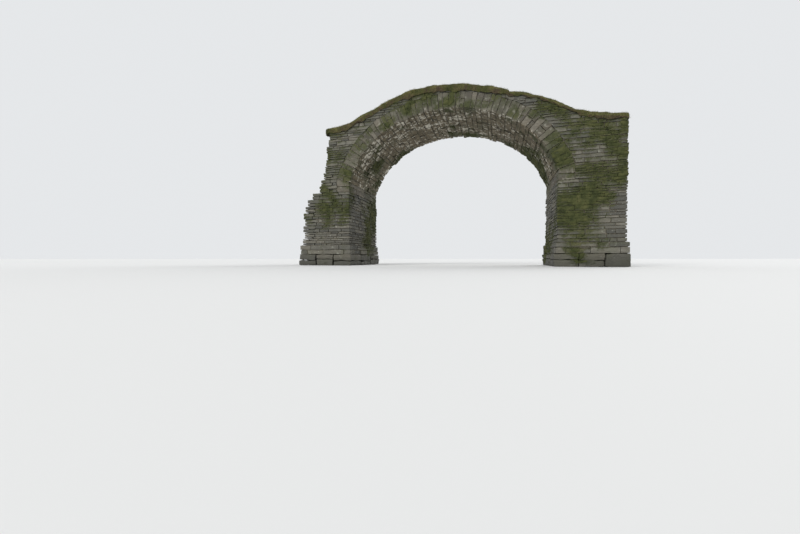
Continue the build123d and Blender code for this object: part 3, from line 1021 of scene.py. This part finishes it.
for side, end in (("left", -1), ("right", 1)):
    lines = spandrel_lines[side]
    walls = [side + "_front_spandrel", side + "_back_spandrel"]
    stones = begin_stones()
    reach = {}
    if side == "right":
        walls.append("right_end_wall")
        quoin_lines = [line for line in lines if line < RIGHT_BED + 0.001]
        corners = [((END, y), (-1, 1 if y < 0 else -1)) for y in (FACE, -FACE)]
        for corner, inwards in corners:
            reach[corner] = lay_quoins(stones, corner, inwards, quoin_lines)
        sheet = facing_sheet(walls, (1, 0, 0))
        cut_courses(sheet, quoin_lines)
        near, far = reach[(END, FACE)], reach[(END, -FACE)]
        limits = [(first[1], last[1]) for first, last in zip(near, far)]
        cut_joints(sheet, (0, 1, 0), quoin_lines, SLAB_LENGTHS, limits)
        raise_stones(sheet, (1, 0, 0), PROUD, ASKEW, STONE_DEPTH)
        add_shape(stones, sheet)
    for facing in ((0, -1, 0), (0, 1, 0)):
        for zone in ("haunch", "crown"):
            sheet = facing_sheet(walls[:2], facing)
            cleared = {"clear_inner": zone == "haunch", "clear_outer": zone == "crown"}
            place = (end * CROWN_ZONE, 0, 0)
            cut(sheet, everything_of(sheet.faces[:]), place, (end, 0, 0), **cleared)
            if zone == "haunch":
                limits = [(None, None)] * (len(lines) - 1)
                if side == "right":
                    corner = (END, FACE if facing[1] < 0 else -FACE)
                    for n, pair in enumerate(reach[corner]):
                        limits[n] = (None, pair[0])
                cut_courses(sheet, lines)
                cut_joints(sheet, (1, 0, 0), lines, SLAB_LENGTHS, limits)
            else:
                cut_joints(sheet, (1, 0, 0), CROWN_BAND, SLAB_LENGTHS)
            deep = broken_spandrel_stone if side == "left" else None
            raise_stones(sheet, facing, PROUD, ASKEW, STONE_DEPTH, deep)
            add_shape(stones, sheet)
    finish = (wall_stone, "wall_stone", *walls[:2])
    lay_mossy(side + "_spandrel", "_slabs", stones, WALL_WEATHER, SPANDREL_MOSS, *finish)
    cuts = set_back(Vector((0, FACE, 0)), Vector((END, -FACE, 0)), [FRONT, BACK])
    if side == "left":
        cuts.append(((BROKEN_SPANDREL, 0, 0), (-1, 0, 0)))
    else:
        cuts.append(((END - JOINT_DEPTH, 0, 0), (1, 0, 0)))
    behind = cut_back(walls[:2], cuts)
    set_down(behind, side + "_spandrel_packing", bedding, "hearting", *walls[:2])


# Turf: a thick sod of matted grass and moss over the crown and the left haunch, and a thinner
# one past the step. It has grown on the bridge and hangs a little over the tops of the walls.
SOD_GRAIN = 0.075
SOD_WEAR = 0.5
SOD_RELIEF = 0.014
SOD_PITCHES = (0.26, 0.3)
RIM_REACH = 0.035
HEADROOM = 0.02
DROOP = 0.03, 0.08, 0.05
SOD_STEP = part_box("turf_left")[1].x
STEP_REACH = 0.2
STEP_SAG = 0.055
STEP_BACK = 0.05
STEP_SWELL = 0.045
SLIVER = 0.0005
BLADE_HEIGHT = 0.014, 0.05
BLADE_WIDTH = 0.007
BLADE_ROOT = 0.006
BLADES_TOP = 0.36
BLADES_RIM = 0.4


def sod_finish():
    """Moss and matted grass on top, and dark soil held by roots on the sides and below."""
    material, surface, place = begin_finish("mossy_sod")
    upwards = place.node("ShaderNodeNewGeometry", {}, {}, 1)
    upwards = place.node("ShaderNodeSeparateXYZ", {}, {0: upwards}, 2)
    mats = speckle(place, 3.4, 9, 0.72)
    roots = speckle(place, 46, 6, 0.78)
    tones = [
        (0.36, (0.026, 0.028, 0.011)),
        (0.46, (0.06, 0.064, 0.02)),
        (0.54, (0.1, 0.098, 0.032)),
        (0.62, (0.16, 0.132, 0.058)),
        (0.7, (0.225, 0.18, 0.09)),
    ]
    grass = graded(mats * 0.6 + roots * 0.55 - 0.06, tones)
    soil = tinted(between(roots, 0.35, 0.65), (0.028, 0.02, 0.012), (0.1, 0.075, 0.045))
    bare = (1 - between(upwards + (mats - 0.5) * 1.2, -0.1, 0.3)) * between(mats, 0.4, 0.54)
    colour = tinted(bare, grass, soil)
    fit_surface(surface, colour, 0.96, 0.2, roots + mats * 0.5, depth=0.03)
    return material


def blade_finish():
    """Winter grass: every blade its own mix of green, olive and straw."""
    material, surface, place = begin_finish("winter_grass")
    tint = place.node("ShaderNodeAttribute", {"attribute_name": "tint"}, {}, 2)
    tufts = speckle(place, 1.7, 4, 0.6)
    tones = [
        (0.25, (0.04, 0.048, 0.015)),
        (0.42, (0.085, 0.09, 0.028)),
        (0.58, (0.16, 0.145, 0.052)),
        (0.75, (0.28, 0.225, 0.11)),
    ]
    fit_surface(surface, graded(tint * 0.5 + tufts * 0.6 - 0.06, tones), 0.8, 0.3)
    return material


def tidy_sod(sod):
    """Takes out the slivers that the shaping of a sod has left."""
    bmesh.ops.dissolve_degenerate(sod, dist=SLIVER, edges=sod.edges[:])
    bmesh.ops.triangulate(sod, faces=[face for face in sod.faces if len(face.verts) > 4])


def shape_sod(sod, low, high, free_end):
    """Lumps the top of a sod, rounds its step and lets its lower rim hang over the wall tops."""
    still = BVHTree.FromBMesh(sod)
    for axis, pitch in enumerate(SOD_PITCHES):
        normal = Vector((axis == 0, axis == 1, 0))
        place = low[axis] + pitch
        while place < high[axis] - 0.05:
            cut(sod, everything_of(sod.faces[:]), normal * place, normal)
            place += pitch
    weather(sod, SOD_GRAIN, SOD_WEAR, SOD_RELIEF)
    for vert in sod.verts:
        x = min(max(vert.co.x, low.x + 0.02), high.x - 0.02)
        bed = still.ray_cast(Vector((x, 0, 0)), Vector((0, 0, 1)))[0].z
        top = still.ray_cast(Vector((x, 0, 9)), Vector((0, 0, -1)))[0].z
        share = min(max((vert.co.z - bed) / (top - bed), 0), 1)
        over = noise.noise(vert.co * 2.4 + Vector((7, 0, 0)))
        fine = noise.noise(vert.co * 9) + 0.5 * noise.noise(vert.co * 26)
        out = Vector((0, 0, 0))
        if abs(vert.co.y) > high.y - RIM_REACH:
            out.y = math.copysign(1, vert.co.y)
        if free_end * vert.co.x > free_end * (high.x if free_end > 0 else low.x) - RIM_REACH:
            out.x = free_end
        if out.length > 0:
            hang = DROOP[0] + DROOP[1] * max(over, 0) + DROOP[2] * fine
            vert.co.z -= hang * (1 - share)
            vert.co += out.normalized() * (0.008 + 0.02 * fine + 0.012 * noise.noise(vert.co * 23))
        rise = 0.018 * over + 0.01 * fine + 0.008
        vert.co.z += rise * share
        vert.co.z = min(vert.co.z, cad_high.z - HEADROOM + 0.25 * rise)
        near_step = max(1 - abs(vert.co.x - SOD_STEP) / STEP_REACH, 0) * share
        if free_end < 0:
            vert.co.z -= STEP_SAG * near_step * near_step
        else:
            vert.co.x -= STEP_BACK * near_step
            vert.co.z += STEP_SWELL * near_step * near_step


def grow_blades(sod):
    """A leaning blade on each of many small faces of the sod, thicker along its rims."""
    grass = sod.copy()
    under = [face for face in grass.faces if face.normal.z < -0.25]
    bmesh.ops.delete(grass, geom=under, context="FACES")
    bmesh.ops.subdivide_edges(grass, edges=grass.edges, cuts=1, use_grid_fill=True)
    bmesh.ops.triangulate(grass, faces=grass.faces)
    bare = []
    for face in grass.faces:
        middle = face.calc_center_median()
        near_rim = abs(middle.y) > 1.06 or face.normal.z < 0.6
        thick = BLADES_TOP + 0.75 * noise.noise(middle * 1.9) + BLADES_RIM * near_rim
        if chance.random() > thick:
            bare.append(face)
    bmesh.ops.delete(grass, geom=bare, context="FACES")
    bmesh.ops.split_edges(grass, edges=grass.edges[:])
    tint = grass.faces.layers.float.new("tint")
    for face in grass.faces:
        face[tint] = chance.random()
        middle = face.calc_center_median()
        for vert in face.verts:
            arm = (vert.co - middle).normalized() * BLADE_WIDTH * chance.uniform(0.35, 0.65)
            vert.co = middle + arm - face.normal * BLADE_ROOT
    made = bmesh.ops.extrude_face_region(grass, geom=grass.faces[:])
    for face in [part for part in made["geom"] if isinstance(part, bmesh.types.BMFace)]:
        root = face.calc_center_median()
        side = face.normal.z < 0.6
        sway = noise.noise_vector(root * 3.1) * 0.9 + noise.noise_vector(root * 40) * 0.7
        grow = (face.normal + Vector((0, 0, -0.55 if side else 0.35)) + sway).normalized()
        tall = chance.uniform(*BLADE_HEIGHT) * (1.35 if side else 1.0)
        tip = root + grow * tall
        tip.z = min(tip.z, cad_high.z - 0.001)
        tip.y = min(max(tip.y, cad_low.y), cad_high.y)
        for vert in face.verts:
            vert.co = tip
    bmesh.ops.remove_doubles(grass, verts=grass.verts, dist=0.0002)
    bmesh.ops.recalc_face_normals(grass, faces=grass.faces)
    return grass


mossy_sod = sod_finish()
winter_grass = blade_finish()
for side, free_end in (("left", -1), ("right", 1)):
    sod = solids_of("turf_" + side)
    shape_sod(sod, *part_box("turf_" + side), free_end)
    tidy_sod(sod)
    grass = grow_blades(sod)
    set_down(sod, "turf_" + side + "_sod", mossy_sod, "turf", "turf_" + side)
    set_down(grass, "turf_" + side + "_grass", winter_grass, "turf")


# Stage: a plain pale floor under soft studio light, seen from low over the water as in the
# photograph, with a wide lens.
FLOOR_REACH = 700
SKYLIGHT = 0.66
BACKDROP = 0.82
LAMP_SPREAD = math.radians(40)
LENS_PIXELS, FRAME_PIXELS = 355, 800
floor = bmesh.new()
bmesh.ops.create_grid(floor, x_segments=1, y_segments=1, size=FLOOR_REACH)
floor_mesh = bpy.data.meshes.new("floor")
floor.to_mesh(floor_mesh)
floor.free()
floor_piece = bpy.data.objects.new("floor", floor_mesh)
bpy.context.scene.collection.objects.link(floor_piece)
pale, pale_surface, _ = begin_finish("pale_floor")
pale_surface.inputs["Base Color"].default_value = (0.74, 0.74, 0.73, 1)
pale_surface.inputs["Roughness"].default_value = 0.9
floor_mesh.materials.append(pale)

scene = bpy.context.scene
world = bpy.data.worlds.new("studio")
scene.world = world
world.use_nodes = True
backdrop = world.node_tree.nodes["Background"]
backdrop.inputs["Color"].default_value = (0.96, 0.98, 1.0, 1)
paths = Socket(world.node_tree, None)
rays = ("Is Camera Ray", "Is Glossy Ray", "Is Transmission Ray")
seen = sum(paths.node("ShaderNodeLightPath", {}, {}, ray) for ray in rays)
strength = SKYLIGHT + seen * (BACKDROP - SKYLIGHT)
world.node_tree.links.new(strength.end, backdrop.inputs["Strength"])

for name, place, energy in (("key", (-6.0, -14.0, 7.0), 2.2), ("fill", (8.0, 10.0, 9.0), 0.9)):
    lamp = bpy.data.lights.new(name, "SUN")
    lamp.energy = energy
    lamp.angle = LAMP_SPREAD
    lamp_piece = bpy.data.objects.new(name, lamp)
    lamp_piece.location = place
    lamp_piece.rotation_euler = Vector(place).to_track_quat("Z", "Y").to_euler()
    scene.collection.objects.link(lamp_piece)

camera = bpy.data.cameras.new("camera")
camera.sensor_width = 36.0
camera.lens = camera.sensor_width * LENS_PIXELS / FRAME_PIXELS
camera.clip_end = 1500
camera_piece = bpy.data.objects.new("camera", camera)
camera_piece.location = (1.40, -10.70, 0.20)
camera_piece.rotation_euler = (math.radians(88.65), 0, math.radians(15.6))
scene.collection.objects.link(camera_piece)
scene.camera = camera_piece
scene.view_settings.view_transform = "Standard"
